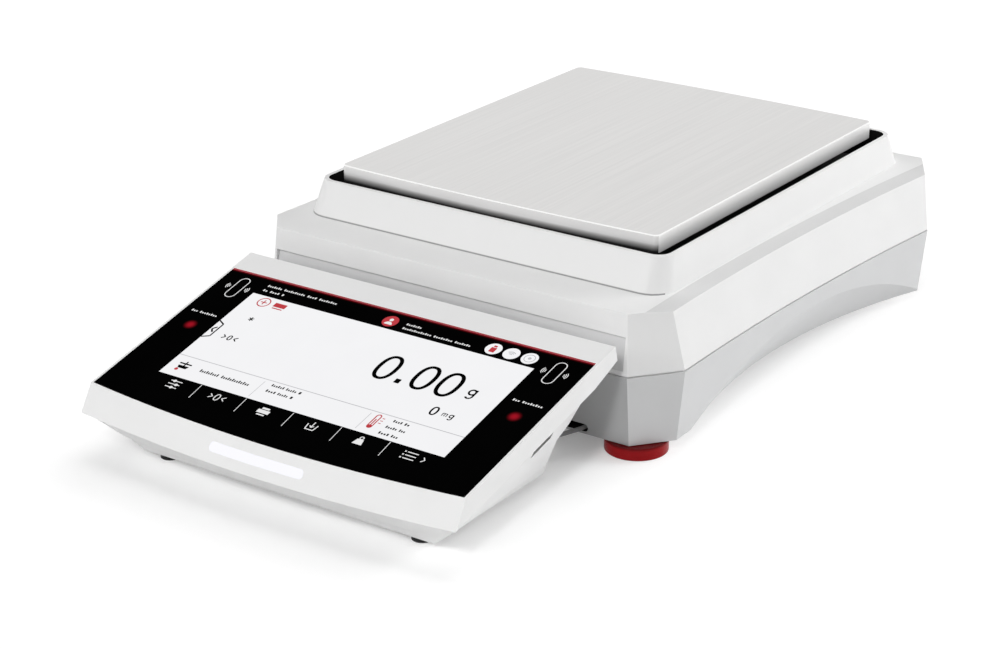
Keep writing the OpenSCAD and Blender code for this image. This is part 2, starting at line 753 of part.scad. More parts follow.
module hook_cover() placed() color("dimgray") {
  plate = [base_z - 1.7, base_z - 0.2];
  rod([0, 0], hook_open_r + 2, plate);
  rod(hook_pivot, 6, plate);
  box([0, hook_pivot[0]], [-6, 6], plate);
  rod(hook_pivot, hook_pin_r, [plate[0], floor_z - 0.5]);
}

module foot_inserts() placed() color("goldenrod") {
  for (p = feet) difference() {
    rod(p, insert_r, [floor_z, floor_z + insert_h]);
    rod(p, stud_r + run_gap, [floor_z - 1, floor_z + insert_h + 1]);
  }
}

// A pan-head screw with its head on top, or hanging when turned over
module screw(at, head_z, len, up) {
  translate([at[0], at[1], head_z]) mirror([0, 0, up ? 0 : 1]) {
    cylinder(r = head_r, h = head_h);
    translate([0, 0, -len]) cylinder(r = screw_r, h = len + 1);
  }
}

// Screws of the cover, the weigh cell and the main board
module base_screws() placed() color("silver") {
  for (p = posts) screw(p, post_split - seat_t, 15, false);
  for (p = cell_posts) screw(p, cell_z, 10, true);
  for (p = board_holes) screw(p, board_z + board_t, 7, true);
}

// Levelling wheel, with a hollow underneath for the pad
module foot_wheel(i) placed() color("firebrick") {
  difference() {
    rod(feet[i], wheel_r, [wheel_z, base_z - wheel_gap]);
    rod(feet[i], wheel_r - wheel_rim, [wheel_z - 1, pad_h + pad_gap]);
    rod(feet[i], stud_r, [wheel_z, base_z]);
  }
}

module foot_stud(i) placed() color("silver") {
  rod(feet[i], stud_r, [pad_h + pad_gap, floor_z + insert_h + foot_travel]);
}

module foot_pad(i) placed() color("dimgray") {
  rod(feet[i], wheel_r - wheel_rim - pad_gap, [0, pad_h]);
  rod(feet[i], stud_r - 1, [0, pad_h + pad_gap - 0.1]);
}

module foot_wheel_fl() foot_wheel(0);
module foot_wheel_fr() foot_wheel(1);
module foot_wheel_rl() foot_wheel(2);
module foot_wheel_rr() foot_wheel(3);
module foot_stud_fl() foot_stud(0);
module foot_stud_fr() foot_stud(1);
module foot_stud_rl() foot_stud(2);
module foot_stud_rr() foot_stud(3);
module foot_pad_fl() foot_pad(0);
module foot_pad_fr() foot_pad(1);
module foot_pad_rl() foot_pad(2);
module foot_pad_rr() foot_pad(3);

// Tube along -Y with a cable bore
module gland(from, len, r) {
  translate(from) rotate([90, 0, 0]) difference() {
    cylinder(r = r, h = len);
    translate([0, 0, -1]) cylinder(r = cable_r + run_gap, h = len + 2);
  }
}

module base_gland() placed() color("dimgray") {
  gland([cable_x, pocket_back + pocket_wall, cable_z], pocket_wall, gland_r);
  gland([cable_x, pocket_back, cable_z], flange_t, gland_r + flange_w);
}

// Disc of the chin's large radius in the screen frame, with its rim at two heights drawn in by two amounts
module chin_disc(z, rim) {
  translate([0, slab_radius - chin_reach, 0]) rotate([0, 0, 255]) rotate_extrude(angle = 30, $fn = 1440)
    polygon([
      [slab_radius - 160, z[0]], [slab_radius - rim[0], z[0]], [slab_radius - rim[1], z[1]],
      [slab_radius - 160, z[1]]]);
}

// Outer form of the upper housing in the screen frame, with the bowed and bevelled chin
module slab() {
  intersection() {
    box([-term_hw, term_hw], [-chin_reach - 1, 0], [-slab_t, 0]);
    chin_disc([-slab_t, 0], [0, slab_t]);
  }
}

// Cover glass in the screen frame, grown by a gap
module glass_form(gap, z) {
  rim = slab_t + 0.6 - gap;
  intersection() {
    box([-term_hw + glass_margin - gap, term_hw - glass_margin + gap], [-chin_reach, -band_w + gap], z);
    chin_disc(z, [rim, rim]);
  }
}

// Bar with round ends through the chin, grown by a gap
module bar_form(gap, back) {
  r = (bar_w[1] - bar_w[0]) / 2;
  box([r - bar_hw, bar_hw - r], [-chin_reach - 2, back], [-bar_w[1] - gap, -bar_w[0] + gap]);
  for (side = [-1, 1]) translate([side * (bar_hw - r), back, -bar_w[0] - r]) rotate([90, 0, 0])
    cylinder(r = r + gap, h = chin_reach + 2 + back);
}

// Height of the plane at a depth below the glass, over a place on the bench
function screen_z(y, w) = term_rear_z + (y + term_rear) * tan(tilt) + w / cos(tilt);

module terminal_upper_housing() placed() color("white") {
  on_screen() difference() {
    slab();
    glass_form(0.1, [-glass_t, 1]);
    box([-window_hw, window_hw], [-window_u[1], -window_u[0]], [-slab_t + window_floor, 0]);
    box([-term_hw + glass_margin, term_hw - glass_margin], [-band_w, -band_w + trim_w], [-1, 1]);
    bar_form(bar_gap, -bar_back + 4);
    rotate([90, 0, 90]) linear_extrude(height = big, center = true)
      polygon([[1, -rear_edge_t], [-rear_taper, -slab_t], [-rear_taper, -slab_t - 1], [1, -slab_t - 1]]);
    mirrored() rod(sensor_at, sensor_r + set_gap, [-slab_t - 1, 0]);
  }
  for (p = term_screw_at) difference() {
    rod(p, term_post_r, [term_post_z, screen_z(p[1], -slab_t + window_floor / 2)]);
    rod(p, screw_r + run_gap, [term_post_z - 1, term_post_z + 8]);
  }
}

module touch_glass() placed() color("black") on_screen() {
  glass_form(0, [-glass_t, 0]);
}

module lcd_panel() placed() color("lightgray") on_screen() {
  box([-window_hw + set_gap, window_hw - set_gap], [-window_u[1] + set_gap, -window_u[0] - set_gap],
    [-glass_t - lcd_t, -glass_t]);
}

module trim_strip() placed() color("firebrick") on_screen() {
  box([-term_hw + glass_margin, term_hw - glass_margin], [-band_w + 0.1, -band_w + trim_w], [-1, 0]);
}

module light_bar() placed() color("white") on_screen() {
  intersection() {
    bar_form(0, -bar_back);
    chin_disc([-bar_w[1], -bar_w[0]], [slab_t - bar_w[1], slab_t - bar_w[0]]);
  }
}

module light_board() placed() color("seagreen") on_screen() {
  edge_x = bar_hw - bar_w[1] + bar_w[0];
  box([-edge_x, edge_x], [-bar_back, -bar_back + board_t], [-bar_w[1], -bar_w[0]]);
}

module ir_sensors() placed() color("darkred") on_screen() {
  mirrored() rod(sensor_at, sensor_r, [-slab_t + 1, -glass_t]);
}

// Outline with a bowed front, by its half widths and places at the front and the back
function bowed_front(hw, y, bow, n = 12) =
  concat([for (i = [0:n]) bowed([hw[0] * (2 * i / n - 1), y[0]], hw[0], bow)],
    [[hw[1], y[1]], [-hw[1], y[1]]]);

// Wedge of the terminal between the upper housing and the bench, drawn in by an inset: it leans in from the
// chin's lip to a step across its front, and from there to its underside
module wedge(inset, top_drop) {
  step_hw = [for (side = step_side) term_foot_hw + side - inset];
  hull() {
    on_screen() translate([0, 0, -slab_t - top_drop - tiny]) linear_extrude(height = tiny)
      polygon(bowed_front([1, 1] * (term_hw - set_gap - inset),
        [-chin_reach + chin_bow + lip_w + inset, -1 - inset], chin_bow));
    translate([0, 0, step_z + inset]) linear_extrude(height = tiny)
      polygon(bowed_front(step_hw, [term_bottom[0] - step_front + inset, term_bottom[1] - inset], step_bow));
  }
  hull() {
    translate([0, 0, step_z + inset]) linear_extrude(height = tiny)
      polygon(bowed_front(step_hw,
        [term_bottom[0] - step_front + step_back + inset, term_bottom[1] - inset], step_bow));
    box([inset - term_foot_hw, term_foot_hw - inset], [term_bottom[0] + inset, term_bottom[1] - inset],
      [term_foot_h + inset, term_foot_h + inset + tiny]);
  }
}

// Space behind the wedge's stepped back, moved forward by a wall
module wedge_back_cut(wall) {
  translate([0, -wall, 0]) rotate([90, 0, 90]) linear_extrude(height = big, center = true)
    polygon(concat(wedge_back, [
      [term_bottom[1] + wall, -1], [term_bottom[1] + 53, -1], [term_bottom[1] + 53, wedge_back[0][1]]]));
}

// Block of the side socket in the screen frame, drawn in by an inset
module side_usb_form(inset, x) {
  on_screen() box(x, [inset - usb_u[1], -usb_u[0] - inset], [inset - usb_w[1], -usb_w[0] - inset]);
}

module terminal_lower_housing() placed() color("whitesmoke") {
  difference() {
    union() {
      difference() {
        wedge(0, 0);
        wedge_back_cut(0);
        difference() {
          wedge(term_wall, -1);
          wedge_back_cut(term_wall);
        }
      }
      for (p = term_screw_at) rod(p, term_post_r, [term_foot_h, term_post_z]);
    }
    for (p = term_screw_at) {
      rod(p, head_r + set_gap, [0, term_seat_z]);
      rod(p, screw_r + set_gap, [0, term_post_z + 1]);
    }
    side_usb_form(-set_gap - tiny, [usb_x[0], term_hw + 2]);
    translate([exit_x, exit_y, cable_z]) rotate([90, 0, 0]) cylinder(r = gland_r, h = 12);
  }
}

module terminal_board() placed() color("seagreen") on_screen() {
  edge_x = window_hw - 18;
  span = [window_u[0] + 32.5, window_u[1] - 14];
  spacer_at = [for (x = [4 - edge_x, edge_x - 4], y = [6 - span[1], -span[0] - 6]) [x, y]];
  box([-edge_x, usb_x[1] - 12], [-span[1], -span[0]], [-tboard_w[1], -tboard_w[0]]);
  box([-20, 10], [-84, -60], [-tboard_w[1] - 2, -tboard_w[1] + 0.5]);
  box([30, 50], [-80, -66], [-tboard_w[1] - 3, -tboard_w[1] + 0.5]);
  for (p = spacer_at) rod(p, 2.5, [-tboard_w[0] - 0.5, -slab_t]);
}

// Side socket: a shell round a flat tongue, on the terminal's board
module side_usb_socket() placed() color("silver") {
  shell = 0.5;
  tongue_t = 0.6;
  tongue_w = (usb_w[0] + usb_w[1]) / 2;
  difference() {
    side_usb_form(0, usb_x);
    side_usb_form(shell, [usb_x[0] + 4, usb_x[1] + 1]);
  }
  on_screen() box([usb_x[0] + 3, usb_x[1] - 1.5], [-usb_u[1] + 3, -usb_u[0] - 3],
    [-tongue_w - tongue_t / 2, -tongue_w + tongue_t / 2]);
}

module terminal_feet() placed() color("dimgray") {
  for (p = term_foot_at) rod(p, term_foot_r, [0, term_foot_h]);
}

module terminal_screws() placed() color("silver") {
  for (p = term_screw_at) screw(p, term_seat_z, 10, false);
}

module terminal_gland() placed() color("dimgray") {
  gland([exit_x, exit_y, cable_z], 8.5, gland_r);
}

// Round tube along the route: one ring per point, square to the route there
function direction(i) = let(
    a = route[max(i - 1, 0)], b = route[min(i + 1, len(route) - 1)]) (b - a) / norm(b - a);
function ring(i) = let(d = direction(i), s = cross([0, 0, 1], d), side = s / norm(s), up = cross(d, side))
  [for (k = [0:7]) route[i] + cable_r * (cos(k * 45) * side + sin(k * 45) * up)];

module terminal_cable() placed() color("gray") {
  n = len(route);
  polyhedron(
    points = [for (i = [0:n - 1]) each ring(i)],
    faces = concat(
      [[for (k = [0:7]) k]], [[for (k = [7:-1:0]) (n - 1) * 8 + k]],
      [for (i = [0:n - 2], k = [0:7])
        [i * 8 + k, (i + 1) * 8 + k, (i + 1) * 8 + (k + 1) % 8, i * 8 + (k + 1) % 8]]));
}

base_tray();
top_cover();
pan_surround();
chamber_plate();
weighing_pan();
pan_support();
support_pads();
load_carrier();
cell_base();
cell_frame();
guide_plates();
beam_pivot();
balance_beam();
force_coil();
magnet_cup();
magnet_core();
position_sensor();
overload_stop();
cal_motor();
cal_screw();
cal_lifter();
cal_weights();
main_board();
io_board();
rear_panel();
power_jack();
serial_socket();
usb_socket();
lan_socket();
level_vial();
hook_cover();
foot_inserts();
base_screws();
foot_wheel_fl();
foot_wheel_fr();
foot_wheel_rl();
foot_wheel_rr();
foot_stud_fl();
foot_stud_fr();
foot_stud_rl();
foot_stud_rr();
foot_pad_fl();
foot_pad_fr();
foot_pad_rl();
foot_pad_rr();
base_gland();
terminal_upper_housing();
terminal_lower_housing();
touch_glass();
lcd_panel();
trim_strip();
light_bar();
light_board();
ir_sensors();
terminal_board();
side_usb_socket();
terminal_feet();
terminal_screws();
terminal_gland();
terminal_cable();
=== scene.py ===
"""Looks of the precision balance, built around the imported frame."""
import json
import math

import bpy
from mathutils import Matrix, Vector


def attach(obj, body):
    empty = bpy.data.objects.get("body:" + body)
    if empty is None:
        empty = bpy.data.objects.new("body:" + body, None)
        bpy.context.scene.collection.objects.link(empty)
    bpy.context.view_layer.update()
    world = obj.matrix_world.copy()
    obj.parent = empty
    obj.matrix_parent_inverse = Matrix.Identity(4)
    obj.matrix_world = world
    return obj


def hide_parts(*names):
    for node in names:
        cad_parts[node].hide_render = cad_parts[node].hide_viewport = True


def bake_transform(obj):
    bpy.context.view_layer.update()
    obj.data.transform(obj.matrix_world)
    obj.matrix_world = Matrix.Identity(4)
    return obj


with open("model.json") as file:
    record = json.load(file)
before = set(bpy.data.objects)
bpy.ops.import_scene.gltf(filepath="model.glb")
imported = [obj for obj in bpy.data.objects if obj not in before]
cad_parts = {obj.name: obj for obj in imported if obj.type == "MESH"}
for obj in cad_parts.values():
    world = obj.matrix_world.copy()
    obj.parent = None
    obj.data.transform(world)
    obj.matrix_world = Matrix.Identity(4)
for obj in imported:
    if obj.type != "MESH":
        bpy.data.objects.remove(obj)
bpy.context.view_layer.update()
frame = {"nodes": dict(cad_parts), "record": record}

NODES = frame["nodes"]
MM = 0.001

# Camera, fitted to the photo's edges: it looks at the front right corner from above
CAMERA_AT = (0.629804, -0.931952, 0.475485)
CAMERA_AZIMUTH = 34.7924
CAMERA_ELEVATION = 22.0233
CAMERA_LENS = 84.7256
CAMERA_SENSOR = 36
CAMERA_NEAR = 0.01

# Cable: its thickness, the corners of its section, the steps between two points of its route,
# and the route from the gland in the base to the gland in the terminal
CABLE_D = 0.0022
CABLE_SIDES = 16
CABLE_STEPS = 4
CABLE_ROUTE = [
    (0.0810, -0.05975, 0.0103), (0.0810, -0.06490, 0.0103), (0.0808, -0.07005, 0.0103),
    (0.0800, -0.07469, 0.0103), (0.0782, -0.07984, 0.0103), (0.0757, -0.08653, 0.0103),
    (0.0731, -0.09323, 0.0103), (0.0710, -0.09992, 0.0103), (0.0701, -0.10559, 0.0103),
    (0.0700, -0.10868, 0.0103), (0.0700, -0.11125, 0.0103)]

# Colours that follow the height, all painted light and shade: the two heights, and the share of the way
# where the colour changes
SKIRT_Z = (0.0885, 0.098)
# painted reflection on the pan's side skirts: darker at the foot, where they mirror the dark gap, and
# bright above
SKIRT_REFLECTION_FADE = (0.0, 0.4)
# painted reflection on the pan's front skirt: black at the foot, from the dark gap below it
FRONT_REFLECTION_FADE = (0.14, 0.52)
# painted shade in the seam at the foot of the surround's front
SEAM_Z = (0.074, 0.075)
SEAM_SHADE_FADE = (0.45, 0.85)
# painted shadow on the top of the wheels, under the edge of the tray
WHEEL_Z = (0.0005, 0.007)
WHEEL_SHADE_FADE = (0.74, 1.0)

# Faces that get a further material of painted shade: where they lie, and how far they lean
PAN_Y = 0.0802497
# the right shoulder, which gets painted shade
SHOULDER_RISE = (0.95, 0.9995)
SHOULDER_X = 0.1
# the docking recess, which gets painted shade
RECESS_LEAN = 0.15
# the cable's slot in the tray, which gets black as painted shade
CABLE_SLOT = ((0.0645, 0.0840), (-0.0714, -0.0575), (0.0081, 0.0125))

# Moulding radius of the outer pieces, in millimetres, and the brighter steel of a painted highlight on the
# pan's edge
ROUNDED = {
    "top_cover": 0.8, "base_tray": 0.8, "pan_surround": 0.9, "terminal_upper_housing": 0.6,
    "terminal_lower_housing": 0.7, "weighing_pan": 0.5, "chamber_plate": 0.2,
    "foot_wheel_fl": 0.6, "foot_wheel_fr": 0.6, "foot_wheel_rl": 0.6, "foot_wheel_rr": 0.6,
}
EDGE_HIGHLIGHT = {"weighing_pan": "pan_edge_highlight"}
WELD_GAP = 0.000005
FLAT_ANGLE = math.radians(0.2)
EDGE_ANGLE = math.radians(25)
EDGE_SEGMENTS = 3

# Screen plane of the terminal: its rear edge in the row frame, and its tilt
SCREEN_REAR_Y = -0.0894503
SCREEN_REAR_Z = 0.0644
SCREEN_TILT = math.radians(14.1)

# Screen frame: x across, u down the glass from the terminal's rear edge, w out of the glass,
# in millimetres. The layers of print lie between two values of w.
PAGE_LAYER = (0.02, 0.06)
INK_LAYER = (0.06, 0.09)
FAINT_LAYER = (0.06, 0.085)
BADGE_LAYER = (0.09, 0.11)

# Sensors behind the glass and the glow at its rear edge; the sensor's reach is in metres
SENSOR_X = 95.0
SENSOR_U = 63.6
SENSOR_GLOW = 0.0043
GLASS_REAR_U = 16.0
EDGE_GLOW = 1.2
EDGE_STRENGTH = 0.32
GLASS_GLOW = (0.34, 0.006, 0.016, 1)

# Places on the screen
PAGE_HW = 83.0
PAGE_U = (29.3, 100.9)
STATUS_X = (56.6, 66.6, 76.7)
STATUS_U = 23.4
STATUS_R = 4.25
BADGE_X = -3.0
PILL_X = 93.7
PILL_U = 28.7
KEY_X = (-69.0, -42.4, -14.6, 13.6, 40.6, 68.0)
KEY_U = 106.3
KEY_BAR_U = (101.4, 111.8)
KEY_BAR_LEAN = 0.6
READING_X = (18.9, 40.2, 53.9)
READING_U = 55.1
READING_SIZE = (5.7, 9.4)
READING_STROKE = 2.15
POINT_AT = (29.4, 62.2)
POINT_SIZE = (2.9, 3.2)
UNIT_AT = (67.2, 56.0)
SECOND_ZERO_AT = (59.0, 74.5)
SECOND_MILLI_AT = (65.1, 75.0)
SECOND_UNIT_AT = (68.7, 75.0)
STAR_AT = (-69.0, 48.3)
CENTRE_ZERO_AT = (-68.6, 65.3)
TAB_X = -79.2
TAB_U = (55.2, 57.2, 67.7, 69.7)
TAB_ARROW = [(-80.4, 60.2), (-82.1, 62.4), (-80.4, 64.6)]
SCALE_AT = (-74.4, 92.2)
SCALE_DOT_AT = (-76.5, 95.8)
TARGET_AT = (-72.4, 34.1)
DRIVE_AT = (-62.6, 33.6)
THERMOMETER_AT = (38.0, 91.8)
RULE_U = 85.4
DIVIDER_X = (-29.0, 33.0)
DIVIDER_U = (87.0, 99.5)

# Small print: the pitch of its blocks, their share of it and their heights,
# and the rows as x, u, the words' lengths, the height and the gap between words
LETTER_PITCH = 1.35
LETTER_FILL = 0.6
LETTER_TALL = (1.55, 1.05, 1.05, 1.5, 1.05)
BLACK_ROWS = [
    (-24.3, 88.4, (7.6, 6.2, 2.0), 1.1, 1.0), (-24.3, 92.9, (6.0, 6.2, 2.0), 1.1, 1.0),
    (-64.5, 92.7, (11.5, 17.0), 1.3, 1.6), (46.0, 88.4, (5.2, 3.0), 1.1, 1.0),
    (45.2, 93.2, (6.4, 3.6), 1.1, 1.0), (44.6, 98.0, (6.0, 4.0), 1.1, 1.0)]
WHITE_ROWS = [
    (-80.0, 21.6, (9.0, 13.0, 6.0, 11.0), 0.9, 1.4), (-80.0, 25.6, (3.0, 6.0, 1.6), 0.9, 1.4),
    (5.8, 22.6, (9.0,), 0.9, 1.0), (5.8, 26.0, (17.0, 11.0, 9.0), 0.9, 1.2),
    (-SENSOR_X - 8.0, 53.2, (4.0, 11.0), 0.9, 1.2), (SENSOR_X - 8.0, 53.2, (4.0, 11.0), 0.9, 1.2)]

# Floor: the object's footprint in the row frame, and how the floor turns white around it
FLOOR_HALF = 6.0
FOOTPRINT_CENTRE = (0.0, 0.0, 0.0)
FOOTPRINT_HALF = (0.08, 0.21, 1.0)
SHADOW_REACH = 0.06
FLOOR_WHITE = 0.2
FLOOR_GLOW = 1.06
FLOOR_TONES = ((0.82,) * 3, (0.84,) * 3)
FLOOR_LIFT = (0.2, 0.2, 0.2, 1)

# Light: the world's strength, and each lamp's name, place, size and power
WORLD_LIGHT = 0.06
LAMPS = [
    ("key", (0.706, -1.839, 1.539), 0.3, 20.0),
    ("fill", (-0.9, -2.1, 1.15), 1.0, 21.0),
    ("top", (-0.1, 0.5, 2.3), 1.2, 15.0),
    ("side", (1.75, 1.6, 0.8), 1.2, 41.0),
]


def make_camera():
    data = bpy.data.cameras.new("camera")
    data.sensor_width = CAMERA_SENSOR
    data.lens = CAMERA_LENS
    data.clip_start = CAMERA_NEAR
    camera = bpy.data.objects.new("camera", data)
    camera.location = CAMERA_AT
    camera.rotation_euler = (math.radians(90 - CAMERA_ELEVATION), 0, math.radians(CAMERA_AZIMUTH))
    bpy.context.collection.objects.link(camera)
    bpy.context.scene.camera = camera


def mesh_object(name, verts, faces, material, body=None, smooth=False):
    mesh = bpy.data.meshes.new(name)
    mesh.from_pydata(verts, [], faces)
    mesh.validate()
    mesh.update()
    mesh.materials.append(material)
    if smooth:
        mesh.polygons.foreach_set("use_smooth", [True] * len(mesh.polygons))
    obj = bpy.data.objects.new(name, mesh)
    bpy.context.collection.objects.link(obj)
    if body:
        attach(obj, body)
    return obj


# Materials

NOISE_REACH = (0.3, 0.7)
FINE_GRAIN = 2500
FINE_DETAIL = 2.0
GRAIN_ROUGH = 0.06
GRAIN_DEPTH = 0.00005
STEEL_ROUGH = 0.05
BRUSH_STRETCH = (520, 7, 520)
BRUSH_DETAIL = 5.0
BRUSH_DARK = 0.90
BRUSH_BUMP = (0.12, 0.00003)
SHEET_CLOUD = 9
SHEET_STRETCH = (1, 0.4, 1)
SHEET_DARK = 0.975
UPRIGHT_STRETCH = (1, 1, 30)
LIT_CLOUD = 60
LIT_BASE = (0.02, 0.02, 0.02, 1)


def new_material(name):
    mat = bpy.data.materials.new(name)
    mat.use_nodes = True
    nodes = mat.node_tree.nodes
    return mat, nodes, mat.node_tree.links, nodes["Principled BSDF"]


def noise_on(nodes, links, scale, stretch=(1, 1, 1), detail=3.0):
    """Noise in the object's own coordinates, which are metres in the row frame."""
    coord = nodes.new("ShaderNodeTexCoord")
    mapping = nodes.new("ShaderNodeMapping")
    mapping.inputs["Scale"].default_value = stretch
    noise = nodes.new("ShaderNodeTexNoise")
    noise.inputs["Scale"].default_value = scale
    noise.inputs["Detail"].default_value = detail
    links.new(coord.outputs["Object"], mapping.inputs["Vector"])
    links.new(mapping.outputs["Vector"], noise.inputs["Vector"])
    return noise.outputs["Fac"]


def two_tone(nodes, links, fac, low, high, reach=NOISE_REACH):
    ramp = nodes.new("ShaderNodeValToRGB")
    ramp.color_ramp.elements[0].position = reach[0]
    ramp.color_ramp.elements[1].position = reach[1]
    ramp.color_ramp.elements[0].color = (*low, 1)
    ramp.color_ramp.elements[1].color = (*high, 1)
    links.new(fac, ramp.inputs["Fac"])
    return ramp.outputs["Color"]


def map_range(nodes, links, value, source, target, interpolation="LINEAR"):
    """Maps a value from one stretch to another, without leaving the second."""
    mapped = nodes.new("ShaderNodeMapRange")
    mapped.interpolation_type = interpolation
    mapped.inputs["From Min"].default_value = source[0]
    mapped.inputs["From Max"].default_value = source[1]
    mapped.inputs["To Min"].default_value = target[0]
    mapped.inputs["To Max"].default_value = target[1]
    links.new(value, mapped.inputs["Value"])
    return mapped.outputs["Result"]


def spread(nodes, links, fac, middle, half):
    """Noise as a value that swings about its middle."""
    return map_range(nodes, links, fac, NOISE_REACH, (middle - half, middle + half))


def bump_from(nodes, links, height, strength, distance):
    bump = nodes.new("ShaderNodeBump")
    bump.inputs["Strength"].default_value = strength
    bump.inputs["Distance"].default_value = distance
    links.new(height, bump.inputs["Height"])
    return bump.outputs["Normal"]


def add_values(nodes, links, a, b):
    node = nodes.new("ShaderNodeMath")
    node.operation = "ADD"
    links.new(a, node.inputs[0])
    links.new(b, node.inputs[1])
    return node.outputs["Value"]


def along_axis(nodes, links, axis):
    """A point's place along one axis of the row frame."""
    coord = nodes.new("ShaderNodeTexCoord")
    apart = nodes.new("ShaderNodeSeparateXYZ")
    links.new(coord.outputs["Object"], apart.inputs["Vector"])
    return apart.outputs[axis]


def surface(name, colour, rough, metallic=0.0, vary=0.02, cloud=40, grain=FINE_GRAIN, bump=0.1,
            specular=0.5, coat=0.0):
    """Moulded, cast or painted surface: slow cloudy colour, fine grain in roughness and relief."""
    mat, nodes, links, bsdf = new_material(name)
    low = [c * (1 - vary) for c in colour]
    high = [min(c * (1 + vary), 1) for c in colour]
    slow = noise_on(nodes, links, cloud)
    fine = noise_on(nodes, links, grain, detail=FINE_DETAIL)
    links.new(two_tone(nodes, links, slow, low, high), bsdf.inputs["Base Color"])
    links.new(spread(nodes, links, fine, rough, GRAIN_ROUGH), bsdf.inputs["Roughness"])
    links.new(bump_from(nodes, links, fine, bump, GRAIN_DEPTH), bsdf.inputs["Normal"])
    bsdf.inputs["Metallic"].default_value = metallic
    bsdf.inputs["Specular IOR Level"].default_value = specular
    bsdf.inputs["Coat Weight"].default_value = coat
    return mat


def glowing(name, colour, vary=0.01):
    """Lit surface with a faint unevenness."""
    mat, nodes, links, bsdf = new_material(name)
    slow = noise_on(nodes, links, LIT_CLOUD)
    tone = two_tone(nodes, links, slow, [c * (1 - vary) for c in colour], colour)
    bsdf.inputs["Base Color"].default_value = LIT_BASE
    bsdf.inputs["Roughness"].default_value = 0.4
    bsdf.inputs["Specular IOR Level"].default_value = 0.05
    links.new(tone, bsdf.inputs["Emission Color"])
    bsdf.inputs["Emission Strength"].default_value = 1.0
    return mat


def brushed(name, colour, rough):
    """Brushed sheet steel with its lines along Y."""
    mat, nodes, links, bsdf = new_material(name)
    lines = noise_on(nodes, links, 1.0, BRUSH_STRETCH, BRUSH_DETAIL)
    slow = noise_on(nodes, links, SHEET_CLOUD, SHEET_STRETCH)
    tone = nodes.new("ShaderNodeMixRGB")
    tone.blend_type = "MULTIPLY"
    tone.inputs["Fac"].default_value = 1
    dark = [c * BRUSH_DARK for c in colour]
    links.new(two_tone(nodes, links, lines, dark, colour), tone.inputs["Color1"])
    links.new(two_tone(nodes, links, slow, (SHEET_DARK,) * 3, (1, 1, 1)), tone.inputs["Color2"])
    links.new(tone.outputs["Color"], bsdf.inputs["Base Color"])
    links.new(spread(nodes, links, lines, rough, STEEL_ROUGH), bsdf.inputs["Roughness"])
    links.new(bump_from(nodes, links, lines, *BRUSH_BUMP), bsdf.inputs["Normal"])
    bsdf.inputs["Metallic"].default_value = 1.0
    return mat


def by_height(name, z, low, high, fade, rough, metallic=0.0, specular=0.5):
    """Surface whose colour runs from a low to a high tone over a stretch of its own height; here this
    paints shade, shadow and reflection.
    """
    mat, nodes, links, bsdf = new_material(name)
    rise = map_range(nodes, links, along_axis(nodes, links, "Z"), z, (0.0, 1.0))
    links.new(two_tone(nodes, links, rise, low, high, fade), bsdf.inputs["Base Color"])
    fine = noise_on(nodes, links, FINE_GRAIN, UPRIGHT_STRETCH, FINE_DETAIL)
    links.new(spread(nodes, links, fine, rough, STEEL_ROUGH), bsdf.inputs["Roughness"])
    bsdf.inputs["Metallic"].default_value = metallic
    bsdf.inputs["Specular IOR Level"].default_value = specular
    return mat


WHITE_TONE = (0.865, 0.865, 0.863)
WHITE_MOULD = dict(rough=0.42, vary=0.012, grain=3000, bump=0.06)
GREY_MOULD = dict(rough=0.45, vary=0.015, grain=3000, bump=0.08)

SURFACES = {
    "cover_white": dict(colour=WHITE_TONE, **WHITE_MOULD),
    # painted shade on the right shoulder, where its slope is shaded
    "shoulder_painted_shade": dict(colour=(0.69, 0.69, 0.69), **WHITE_MOULD),
    # painted shade in the docking recess
    "recess_painted_shade": dict(colour=(0.65, 0.65, 0.655), **WHITE_MOULD),
    "tray_grey": dict(colour=(0.68, 0.685, 0.69), **GREY_MOULD),
    # painted shadow of the terminal on the tray's front
    "tray_front_painted_shadow": dict(colour=(0.47, 0.474, 0.478), **GREY_MOULD),
    # nearly black as painted shade in the well under the pan
    "plate_steel": dict(colour=(0.03, 0.03, 0.03), rough=0.5, vary=0.1),
    "cast_aluminium": dict(colour=(0.58, 0.585, 0.59), rough=0.5, metallic=0.9, vary=0.06, grain=1500,
                           bump=0.4),
    "zinc_steel": dict(colour=(0.60, 0.60, 0.61), rough=0.32, metallic=1.0, vary=0.05),
    "brass": dict(colour=(0.68, 0.50, 0.22), rough=0.32, metallic=1.0, vary=0.06),
    "magnet_iron": dict(colour=(0.16, 0.16, 0.17), rough=0.55, metallic=0.8, vary=0.1),
    "black_plastic": dict(colour=(0.022, 0.022, 0.024), rough=0.5, vary=0.12, bump=0.25),
    "board_green": dict(colour=(0.02, 0.16, 0.07), rough=0.4, vary=0.12, cloud=300),
    "black_rubber": dict(colour=(0.012, 0.012, 0.013), rough=0.75, vary=0.15, grain=1800, bump=0.4,
                         specular=0.3),
    "trim_red": dict(colour=(0.36, 0.012, 0.025), rough=0.3, vary=0.06, specular=0.3),
    "lcd": dict(colour=(0.5, 0.51, 0.52), rough=0.3, vary=0.03),
    "sensor_red": dict(colour=(0.2, 0.004, 0.008), rough=0.2, vary=0.1),
    "vial_green": dict(colour=(0.42, 0.62, 0.10), rough=0.08, vary=0.08, coat=0.6),
    # brighter steel on the pan's bevels as a painted highlight
    "pan_edge_highlight": dict(colour=(0.97, 0.97, 0.965), rough=0.2, metallic=1.0, vary=0.02),
    # black as painted shade, in the gap round the pan and in the cable's slot
    "gap_painted_shade": dict(colour=(0.008, 0.008, 0.008), rough=0.7, vary=0.2, specular=0.1),
    # painted light on the socket's up-facing faces; its other faces get black as painted shade
    "slot_painted_light": dict(colour=(0.95, 0.95, 0.95), rough=0.3, vary=0.02),
    "cable_grey": dict(colour=(0.27, 0.27, 0.275), rough=0.5, vary=0.06, grain=1500, bump=0.2),
}
